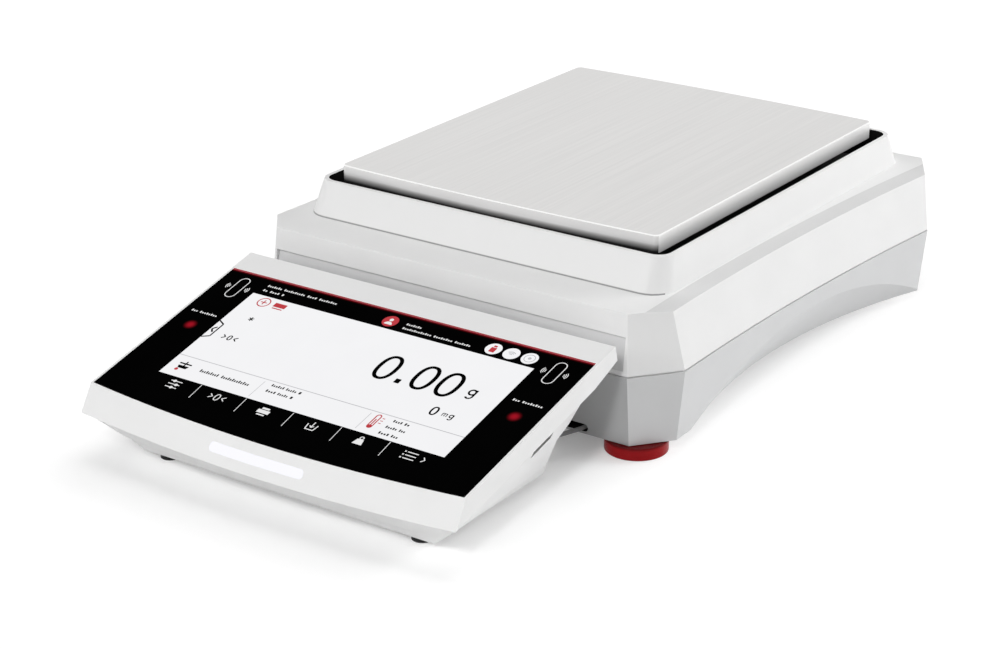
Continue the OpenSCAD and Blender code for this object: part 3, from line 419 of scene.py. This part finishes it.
MATERIALS = {name: surface(name, **look) for name, look in SURFACES.items()}
MATERIALS.update({
    "pan_steel": brushed("pan_steel", (0.735, 0.728, 0.72), 0.34),
    "light_white": glowing("light_white", (0.95, 0.95, 1.0)),
    # the pan's skirts: steel with a painted reflection, darker at the foot and bright above
    "pan_skirt": by_height("pan_skirt", SKIRT_Z, (0.66,) * 3, (0.96, 0.955, 0.95), SKIRT_REFLECTION_FADE,
                           rough=0.35, metallic=0.3),
    # the pan's front skirt: steel with a painted reflection of the dark gap, black at its foot
    "pan_front_painted_reflection": by_height("pan_front_painted_reflection", SKIRT_Z, (0.02,) * 3, (0.82, 0.815, 0.81), FRONT_REFLECTION_FADE,
                           rough=0.35, metallic=0.3),
    # the surround's front, white with a painted shade in the seam at its foot
    "surround_front_painted_seam_shade": by_height("surround_front_painted_seam_shade", SEAM_Z, (0.3,) * 3, WHITE_TONE, SEAM_SHADE_FADE, rough=0.42),
    # the wheels' red, darker at the top as a painted shadow under the tray
    "wheel_red": by_height("wheel_red", WHEEL_Z, (0.33, 0.004, 0.007), (0.07, 0.0015, 0.002), WHEEL_SHADE_FADE,
                           rough=0.28, specular=0.12),
})


def on_screen(x, u, w):
    """A point of the screen frame, in metres in the row frame."""
    y = SCREEN_REAR_Y - (u * math.cos(SCREEN_TILT) + w * math.sin(SCREEN_TILT)) * MM
    z = SCREEN_REAR_Z + (w * math.cos(SCREEN_TILT) - u * math.sin(SCREEN_TILT)) * MM
    return (x * MM, y, z)


def glass_material():
    """Black cover glass: red light of the two sensors behind it, and a red glow along its rear edge."""
    mat, nodes, links, bsdf = new_material("screen_glass")
    slow = noise_on(nodes, links, 30)
    links.new(two_tone(nodes, links, slow, (0.0010,) * 3, (0.0014,) * 3), bsdf.inputs["Base Color"])
    links.new(spread(nodes, links, noise_on(nodes, links, 900), 0.06, 0.01), bsdf.inputs["Roughness"])
    bsdf.inputs["Specular IOR Level"].default_value = 0.0
    edge = [on_screen(0, u, 0)[1] for u in (GLASS_REAR_U + EDGE_GLOW, GLASS_REAR_U)]
    total = map_range(nodes, links, along_axis(nodes, links, "Y"), edge, (0.0, EDGE_STRENGTH),
                      "SMOOTHSTEP")
    coord = nodes.new("ShaderNodeTexCoord")
    for side in (-1, 1):
        away = nodes.new("ShaderNodeVectorMath")
        away.operation = "DISTANCE"
        away.inputs[1].default_value = on_screen(side * SENSOR_X, SENSOR_U, 0)
        links.new(coord.outputs["Object"], away.inputs[0])
        light = map_range(nodes, links, away.outputs["Value"], (0.0, SENSOR_GLOW), (1.0, 0.0),
                          "SMOOTHERSTEP")
        total = add_values(nodes, links, total, light)
    links.new(total, bsdf.inputs["Emission Strength"])
    bsdf.inputs["Emission Color"].default_value = GLASS_GLOW
    return mat


# Print on the glass

class Print:
    """Thin closed shapes on the glass, gathered into one piece."""

    def __init__(self, layer):
        self.low, self.high = layer
        self.verts = []
        self.faces = []

    def _loop(self, points, w):
        start = len(self.verts)
        self.verts += [on_screen(x, u, w) for x, u in points]
        return [start + i for i in range(len(points))]

    def area(self, points):
        bottom = self._loop(points, self.low)
        top = self._loop(points, self.high)
        count = len(points)
        self.faces.append(top)
        self.faces.append(bottom[::-1])
        for i in range(count):
            j = (i + 1) % count
            self.faces.append([bottom[i], bottom[j], top[j], top[i]])

    def ring(self, outer, inner):
        loops = [self._loop(outer, self.low), self._loop(outer, self.high),
                 self._loop(inner, self.high), self._loop(inner, self.low)]
        count = len(outer)
        for a in range(4):
            first, second = loops[a], loops[(a + 1) % 4]
            for i in range(count):
                j = (i + 1) % count
                self.faces.append([first[i], first[j], second[j], second[i]])

    def line(self, points, width):
        """A stroke along some points, one flat bar per stretch."""
        for (x0, u0), (x1, u1) in zip(points, points[1:]):
            length = math.hypot(x1 - x0, u1 - u0)
            sx, su = (u0 - u1) / length * width / 2, (x1 - x0) / length * width / 2
            self.area([(x0 - sx, u0 - su), (x1 - sx, u1 - su), (x1 + sx, u1 + su), (x0 + sx, u0 + su)])

    def box(self, x, u, width, height):
        self.area([(x - width / 2, u - height / 2), (x + width / 2, u - height / 2),
                   (x + width / 2, u + height / 2), (x - width / 2, u + height / 2)])

    def taper(self, x, top, bottom):
        """A four-sided shape from its top to its bottom, each given as u and half width."""
        (u0, half0), (u1, half1) = top, bottom
        self.area([(x - half0, u0), (x + half0, u0), (x + half1, u1), (x - half1, u1)])

    def words(self, x, u, lengths, height, gap):
        """A row of small plain blocks that stands for a line of small print."""
        foot = u + height / 2
        for length in lengths:
            count = max(1, round(length / LETTER_PITCH))
            pitch = length / count
            for i in range(count):
                tall = height * LETTER_TALL[i % len(LETTER_TALL)]
                self.box(x + pitch * (i + 0.5), foot - tall / 2, pitch * LETTER_FILL, tall)
            x += length + gap

    def done(self, name, material):
        return mesh_object(name, self.verts, self.faces, material, "terminal")


def oval(x, u, rx, ru, count=32, power=1.0):
    points = []
    for i in range(count):
        a = 2 * math.pi * i / count
        c, s = math.cos(a), math.sin(a)
        px = rx * math.copysign(abs(c) ** power, c)
        pu = ru * math.copysign(abs(s) ** power, s)
        points.append((x + px, u + pu))
    return points


def disc(x, u, r, count=32):
    return oval(x, u, r, r, count)


def stadium(x, u, half_width, half_length, count=10):
    straight = half_length - half_width
    points = []
    for end, start in ((1, 0.0), (-1, math.pi)):
        for i in range(count + 1):
            a = start + math.pi * i / count
            points.append((x + half_width * math.cos(a), u + end * straight + half_width * math.sin(a)))
    return points


def bow(x, u, r, a0, a1, count=8):
    steps = [math.radians(a0 + (a1 - a0) * i / count) for i in range(count + 1)]
    return [(x + r * math.cos(a), u + r * math.sin(a)) for a in steps]


def draw_zero(ink, x, u, rx, ru, stroke):
    ink.ring(oval(x, u, rx, ru, 40, 0.86), oval(x, u, rx - stroke, ru - stroke * 0.85, 40, 0.86))


def draw_centre_zero(ink, x, u, reach, size, stroke, zero_stroke):
    """A zero between two arrows that point at it."""
    draw_zero(ink, x, u, *size, zero_stroke)
    for side in (-1, 1):
        tip, tail = x + side * reach[0], x + side * reach[1]
        ink.line([(tail, u - 1.4), (tip, u), (tail, u + 1.4)], stroke)


def draw_unit(ink, x, u, r, stroke):
    """The unit beside the reading: a small round g."""
    ink.ring(oval(x, u, r, r * 1.05, 24), oval(x, u, r - stroke, r * 1.05 - stroke, 24))
    ink.line([(x + r - stroke / 2, u - r), (x + r - stroke / 2, u + r * 1.5)], stroke)
    ink.line(bow(x, u + r * 1.35, r - stroke / 2, 0, 150, 6), stroke)


def draw_milli(ink, x, u):
    for i in (-1, 0, 1):
        ink.line([(x + i * 1.2, u - 0.9), (x + i * 1.2, u + 1.2)], 0.42)
    ink.line([(x - 1.2, u - 0.8), (x + 1.2, u - 0.8)], 0.42)


def draw_star(ink, x, u):
    for a in (30, 90, 150):
        c, s = 1.6 * math.cos(math.radians(a)), 1.6 * math.sin(math.radians(a))
        ink.line([(x - c, u - s), (x + c, u + s)], 0.55)


def draw_tab(ink):
    """Tab at the page's left edge, with an arrow in it."""
    ink.line([(-PAGE_HW, TAB_U[0]), (TAB_X, TAB_U[1]), (TAB_X, TAB_U[2]), (-PAGE_HW, TAB_U[3])], 0.8)
    ink.line(TAB_ARROW, 0.95)


def draw_scale(ink, x, u):
    ink.line([(x - 3.6, u - 1.2), (x + 3.6, u - 1.2)], 0.9)
    ink.line([(x, u - 3.0), (x, u + 1.0)], 0.8)
    ink.taper(x, (u + 0.4, 3.2), (u + 2.4, 2.4))


def draw_target(ink, x, u):
    ink.ring(disc(x, u, 3.7), disc(x, u, 3.1))
    ink.line([(x - 1.8, u), (x + 1.8, u)], 0.6)
    ink.line([(x, u - 1.8), (x, u + 1.8)], 0.6)


def draw_drive(ink, x, u):
    ink.box(x, u, 7.2, 3.2)
    ink.line([(x - 3.0, u + 2.8), (x + 3.0, u + 2.8)], 0.7)


def draw_stick(ink, x, u):
    ink.box(x, u + 0.8, 3.0, 3.6)
    ink.box(x, u - 2.0, 1.8, 1.2)


def draw_thermometer(ink, x, u):
    ink.ring(stadium(x, u, 1.5, 5.2), stadium(x, u, 0.9, 4.6))
    ink.area(disc(x, u + 3.8, 1.2, 20))
    ink.line([(x, u - 1.8), (x, u + 3.2)], 0.6)
    for down in (-3.2, -1.4, 0.4):
        ink.line([(x + 2.4, u + down), (x + 3.8, u + down)], 0.45)


def draw_waves(ink, x, u):
    for r in (1.0, 1.9, 2.8):
        ink.line(bow(x, u + 1.5, r, 225, 315), 0.5)


def draw_eye(ink, x, u):
    ink.ring(disc(x, u, 2.9), disc(x, u, 2.5))
    ink.area(disc(x, u, 0.9, 16))


def draw_pill(ink, x, u):
    """Long ring with waves on both sides."""
    ink.ring(stadium(x, u, 3.1, 8.6), stadium(x, u, 2.65, 8.15))
    for side, face in ((-1, 180), (1, 0)):
        for r in (1.2, 2.1, 3.0):
            ink.line(bow(x + side * 3.9, u, r, face - 42, face + 42, 6), 0.4)


def draw_keys(ink):
    """Six plain key signs, sliders, zero, printer, container, weight and list, with bars between them."""
    for left, right in zip(KEY_X, KEY_X[1:]):
        x = left + (right - left) / 2
        ink.line([(x, KEY_BAR_U[0]), (x + KEY_BAR_LEAN, KEY_BAR_U[1])], 0.32)
    u = KEY_U
    x = KEY_X[0]
    for i, offset in enumerate((-1.2, 1.4, 0.2)):
        row = u - 2.4 + 2.4 * i
        ink.line([(x - 3.4, row), (x + 3.4, row)], 0.5)
        ink.area(disc(x + offset, row, 0.9, 16))
    draw_centre_zero(ink, KEY_X[1], u, (2.8, 4.6), (1.5, 2.4), 0.5, 0.55)
    x = KEY_X[2]
    ink.box(x, u + 0.2, 6.8, 2.4)
    ink.box(x, u - 2.1, 4.2, 1.2)
    ink.line([(x - 2.2, u + 2.6), (x + 2.2, u + 2.6)], 0.8)
    x = KEY_X[3]
    ink.line([(x - 2.8, u - 1.2), (x - 2.2, u + 2.6), (x + 2.2, u + 2.6), (x + 2.8, u - 1.2)], 0.55)
    ink.line([(x, u - 3.0), (x, u + 0.9)], 0.5)
    ink.line([(x - 1.2, u - 0.2), (x, u + 1.0), (x + 1.2, u - 0.2)], 0.5)
    x = KEY_X[4]
    ink.taper(x, (u - 1.0, 1.7), (u + 2.6, 2.6))
    ink.ring(disc(x, u - 1.9, 1.2, 20), disc(x, u - 1.9, 0.7, 20))
    x = KEY_X[5]
    for row in (u - 2.2, u, u + 2.2):
        ink.box(x - 3.4, row, 0.8, 0.8)
        ink.line([(x - 2.2, row), (x + 3.6, row)], 0.55)
    ink.line([(x + 7.0, u - 1.6), (x + 8.4, u), (x + 7.0, u + 1.6)], 0.5)


def make_screen():
    """The lit page and the print on it, one piece for each ink."""
    page = Print(PAGE_LAYER)
    page.box(0, sum(PAGE_U) / 2, 2 * PAGE_HW, PAGE_U[1] - PAGE_U[0])
    for x in STATUS_X:
        page.area(disc(x, STATUS_U, STATUS_R))
    page.done("screen_page", glowing("screen_page", (0.875, 0.875, 0.89), 0.012))

    black = Print(INK_LAYER)
    for x in READING_X:
        draw_zero(black, x, READING_U, *READING_SIZE, READING_STROKE)
    black.box(*POINT_AT, *POINT_SIZE)
    draw_unit(black, *UNIT_AT, 2.2, 1.0)
    draw_zero(black, *SECOND_ZERO_AT, 2.0, 3.2, 1.0)
    draw_milli(black, *SECOND_MILLI_AT)
    draw_unit(black, *SECOND_UNIT_AT, 1.25, 0.6)
    draw_star(black, *STAR_AT)
    draw_centre_zero(black, *CENTRE_ZERO_AT, (2.6, 4.4), (1.3, 2.0), 0.65, 0.7)
    draw_tab(black)
    draw_scale(black, *SCALE_AT)
    for row in BLACK_ROWS:
        black.words(*row)
    ink_black = surface("screen_black", (0.0015, 0.0015, 0.0015), 0.5, vary=0.2, specular=0.0)
    black.done("screen_black", ink_black)

    grey = Print(FAINT_LAYER)
    grey.line([(-PAGE_HW, RULE_U), (PAGE_HW, RULE_U)], 0.45)
    for x in DIVIDER_X:
        grey.line([(x, DIVIDER_U[0]), (x, DIVIDER_U[1])], 0.3)
    draw_waves(grey, STATUS_X[1], STATUS_U)
    draw_eye(grey, STATUS_X[2], STATUS_U)
    grey.done("screen_grey", glowing("screen_grey", (0.50, 0.50, 0.52), 0.03))

    red = Print(INK_LAYER)
    red.area(disc(BADGE_X, STATUS_U, STATUS_R))
    draw_target(red, *TARGET_AT)
    draw_drive(red, *DRIVE_AT)
    draw_stick(red, STATUS_X[0], STATUS_U)
    draw_thermometer(red, *THERMOMETER_AT)
    red.area(disc(*SCALE_DOT_AT, 1.0, 16))
    red.done("screen_red", glowing("screen_red", (0.50, 0.018, 0.030), 0.05))

    ink_white = glowing("screen_white", (0.80, 0.80, 0.80), 0.02)
    white = Print(FAINT_LAYER)
    for side in (-1, 1):
        draw_pill(white, side * PILL_X, PILL_U)
    draw_keys(white)
    for row in WHITE_ROWS:
        white.words(*row)
    white.done("screen_white", ink_white)

    figure = Print(BADGE_LAYER)
    figure.area(disc(BADGE_X, STATUS_U - 1.1, 1.1, 20))
    figure.area(bow(BADGE_X, STATUS_U + 2.6, 2.2, 180, 360, 12))
    figure.done("screen_badge", ink_white)


# Cable

def smooth_route(points, steps):
    """Evenly smooth curve through the route's points."""
    route = [Vector(p) for p in points]
    route = [2 * route[0] - route[1]] + route + [2 * route[-1] - route[-2]]
    result = []
    for i in range(1, len(route) - 2):
        a, b, c, d = route[i - 1:i + 3]
        for k in range(steps):
            t = k / steps
            result.append(0.5 * (2 * b + (c - a) * t + (2 * a - 5 * b + 4 * c - d) * t * t
                                 + (3 * b - a - 3 * c + d) * t * t * t))
    result.append(route[-2])
    return result


def make_cable():
    sides = CABLE_SIDES
    path = smooth_route(CABLE_ROUTE, CABLE_STEPS)
    verts = []
    for i, p in enumerate(path):
        along = (path[min(i + 1, len(path) - 1)] - path[max(i - 1, 0)]).normalized()
        side = Vector((0, 0, 1)).cross(along).normalized()
        up = along.cross(side)
        for k in range(sides):
            a = 2 * math.pi * k / sides
            verts.append(p + CABLE_D / 2 * (math.cos(a) * side + math.sin(a) * up))
    faces = [list(range(sides))[::-1], [len(verts) - sides + k for k in range(sides)]]
    for i in range(len(path) - 1):
        for k in range(sides):
            j = (k + 1) % sides
            faces.append([i * sides + k, i * sides + j, (i + 1) * sides + j, (i + 1) * sides + k])
    cable = mesh_object("cable", verts, faces, MATERIALS["cable_grey"], smooth=True)
    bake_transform(cable)
    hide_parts("terminal_cable")


# Carried-over solids

def is_upright(centre, normal):
    return abs(normal.z) < 0.5


def faces_front(centre, normal):
    return normal.y < -0.5


def faces_the_pan(centre, normal):
    inward = -normal.x * centre.x + normal.y * (PAN_Y - centre.y)
    return inward > 0 and abs(normal.z) < 0.7


def faces_up(centre, normal):
    return normal.z >= 0.5


def faces_no_sky(centre, normal):
    return not faces_up(centre, normal)


def is_shaded_shoulder(centre, normal):
    return SHOULDER_RISE[0] < normal.z < SHOULDER_RISE[1] and centre.x > SHOULDER_X


def in_recess(centre, normal):
    return normal.y < -0.9 and normal.z > RECESS_LEAN


def is_tray_front(centre, normal):
    return normal.y < -0.95 and centre.y < 0


def in_cable_slot(centre, normal):
    return all(low < c < high for c, (low, high) in zip(centre, CABLE_SLOT))


# Node, further material, and the test of the faces that get it: a later row wins. Each further material
# paints light and shade: reflection on the pan's skirts, shade in the surround's seam and round the pan, on
# the socket's walls, the right shoulder, the docking recess and the cable's slot, the terminal's shadow on
# the tray's front, and light on the socket's floor
FURTHER = [
    ("weighing_pan", "pan_skirt", is_upright),
    ("weighing_pan", "pan_front_painted_reflection", faces_front),
    ("pan_surround", "surround_front_painted_seam_shade", faces_front),
    ("pan_surround", "gap_painted_shade", faces_the_pan),
    # the socket's walls get black as painted shade, its up-facing faces white as painted light
    ("side_usb_socket", "black_plastic", faces_no_sky),
    ("side_usb_socket", "slot_painted_light", faces_up),
    ("top_cover", "shoulder_painted_shade", is_shaded_shoulder),
    ("top_cover", "recess_painted_shade", in_recess),
    ("base_tray", "tray_front_painted_shadow", is_tray_front),
    ("base_tray", "gap_painted_shade", in_cable_slot),
]


def add_material(node, name):
    """Adds a material to a node, and gives its place among the node's materials."""
    materials = NODES[node].data.materials
    materials.append(MATERIALS[name])
    return len(materials) - 1


def dress_nodes():
    MATERIALS["screen_glass"] = glass_material()
    slots = {s["node"]: s["material_slot"] for s in frame["record"]["subparts"]}
    for node, obj in NODES.items():
        obj.data.materials.clear()
        add_material(node, slots[node])
    for node, name, test in FURTHER:
        place = add_material(node, name)
        for face in NODES[node].data.polygons:
            if test(face.center, face.normal):
                face.material_index = place


def round_edges():
    """Small moulding radius on the hard edges of the outer pieces."""
    for name, width in ROUNDED.items():
        obj = NODES[name]
        weld = obj.modifiers.new("weld", "WELD")
        weld.merge_threshold = WELD_GAP
        flat = obj.modifiers.new("flat", "DECIMATE")
        flat.decimate_type = "DISSOLVE"
        flat.angle_limit = FLAT_ANGLE
        flat.delimit = {"MATERIAL"}
        bevel = obj.modifiers.new("bevel", "BEVEL")
        bevel.width = width * MM
        bevel.segments = EDGE_SEGMENTS
        bevel.limit_method = "ANGLE"
        bevel.angle_limit = EDGE_ANGLE
        bevel.use_clamp_overlap = True
        # the pan's bevels get the brighter steel of a painted highlight
        if name in EDGE_HIGHLIGHT:
            bevel.material = add_material(name, EDGE_HIGHLIGHT[name])
        normals = obj.modifiers.new("normals", "WEIGHTED_NORMAL")
        normals.keep_sharp = False
        obj.data.polygons.foreach_set("use_smooth", [True] * len(obj.data.polygons))


# Studio

def far_from_object(nodes, links):
    """How far a point of the floor lies outside the object's footprint, as a share that ends at 1."""
    coord = nodes.new("ShaderNodeTexCoord")
    vector = coord.outputs["Object"]
    for operation, value in (("SUBTRACT", FOOTPRINT_CENTRE), ("ABSOLUTE", None),
                             ("SUBTRACT", FOOTPRINT_HALF), ("MAXIMUM", (0, 0, 0))):
        step = nodes.new("ShaderNodeVectorMath")
        step.operation = operation
        links.new(vector, step.inputs[0])
        if value:
            step.inputs[1].default_value = value
        vector = step.outputs["Vector"]
    length = nodes.new("ShaderNodeVectorMath")
    length.operation = "LENGTH"
    links.new(vector, length.inputs[0])
    return map_range(nodes, links, length.outputs["Value"], (0.0, SHADOW_REACH), (FLOOR_WHITE, 1.0),
                     "SMOOTHSTEP")


def mix_shaders(nodes, links, share, first, second):
    mix = nodes.new("ShaderNodeMixShader")
    links.new(share, mix.inputs["Fac"])
    links.new(first, mix.inputs[1])
    links.new(second, mix.inputs[2])
    return mix.outputs["Shader"]


def stage_material():
    """White floor that keeps soft shadows near the object and is plain white to the camera farther away."""
    mat, nodes, links, bsdf = new_material("floor_white")
    bsdf.inputs["Roughness"].default_value = 0.9
    bsdf.inputs["Specular IOR Level"].default_value = 0.0
    links.new(two_tone(nodes, links, noise_on(nodes, links, 2), *FLOOR_TONES), bsdf.inputs["Base Color"])
    path = nodes.new("ShaderNodeLightPath")
    seen = add_values(nodes, links, path.outputs["Is Camera Ray"], path.outputs["Is Glossy Ray"])
    lift = nodes.new("ShaderNodeBsdfDiffuse")
    lift.inputs["Color"].default_value = FLOOR_LIFT
    lifted = nodes.new("ShaderNodeAddShader")
    links.new(bsdf.outputs["BSDF"], lifted.inputs[0])
    links.new(lift.outputs["BSDF"], lifted.inputs[1])
    lit = mix_shaders(nodes, links, seen, bsdf.outputs["BSDF"], lifted.outputs["Shader"])
    glow = nodes.new("ShaderNodeEmission")
    glow.inputs["Strength"].default_value = FLOOR_GLOW
    share = nodes.new("ShaderNodeMath")
    share.operation = "MULTIPLY"
    links.new(seen, share.inputs[0])
    links.new(far_from_object(nodes, links), share.inputs[1])
    floor = mix_shaders(nodes, links, share.outputs["Value"], lit, glow.outputs["Emission"])
    links.new(floor, nodes["Material Output"].inputs["Surface"])
    return mat


def make_stage():
    half = FLOOR_HALF
    floor = mesh_object("floor", [(-half, -half, 0), (half, -half, 0), (half, half, 0), (-half, half, 0)],
                        [[0, 1, 2, 3]], stage_material())


def make_world():
    """Weak even light, and plain white for what the camera and the shiny surfaces see of it."""
    world = bpy.data.worlds.new("studio")
    bpy.context.scene.world = world
    world.use_nodes = True
    nodes = world.node_tree.nodes
    links = world.node_tree.links
    nodes.clear()
    light = nodes.new("ShaderNodeBackground")
    light.inputs["Strength"].default_value = WORLD_LIGHT
    white = nodes.new("ShaderNodeBackground")
    white.inputs["Color"].default_value = (1, 1, 1, 1)
    white.inputs["Strength"].default_value = 1.0
    path = nodes.new("ShaderNodeLightPath")
    seen = add_values(nodes, links, path.outputs["Is Camera Ray"], path.outputs["Is Glossy Ray"])
    seen = add_values(nodes, links, seen, path.outputs["Is Transmission Ray"])
    out = nodes.new("ShaderNodeOutputWorld")
    both = mix_shaders(nodes, links, seen, light.outputs["Background"], white.outputs["Background"])
    links.new(both, out.inputs["Surface"])


def make_lamps():
    for name, place, size, power in LAMPS:
        data = bpy.data.lights.new("lamp_" + name, "AREA")
        data.shape = "SQUARE"
        data.size = size
        data.energy = power
        lamp = bpy.data.objects.new("lamp_" + name, data)
        lamp.location = place
        lamp.visible_glossy = False
        lamp.rotation_euler = (-Vector(place)).to_track_quat("-Z", "Y").to_euler()
        bpy.context.collection.objects.link(lamp)


make_camera()
make_cable()
dress_nodes()
make_screen()
round_edges()
make_stage()
make_world()
make_lamps()
bpy.context.scene.view_settings.view_transform = "Standard"
